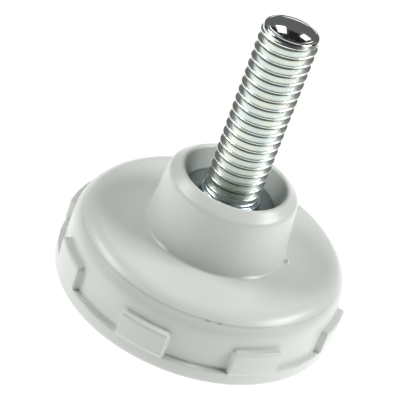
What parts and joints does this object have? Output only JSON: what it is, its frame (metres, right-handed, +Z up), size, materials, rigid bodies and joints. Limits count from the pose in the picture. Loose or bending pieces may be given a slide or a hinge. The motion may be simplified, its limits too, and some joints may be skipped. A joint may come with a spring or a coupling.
{
  "type": "fridge foot",
  "caption": "Screw-in levelling foot for a fridge: round moulded plastic base with grip lugs and a collar, and a threaded steel stud.",
  "frame": {"origin": "centre of the underside, on the surface that the foot stands on", "axes": "+Z up along the stud, towards its tip; +X through the middle of a grip lug"},
  "size_m": [0.0496, 0.0496, 0.0513],
  "materials": {
    "grey_plastic": "satin, lightly glossy",
    "zinc_steel": "bright zinc plate, polished tip"
  },
  "bodies": {
    "root": {"foot_base": "grey_plastic", "threaded_stud": "zinc_steel"}
  },
  "joints": []
}
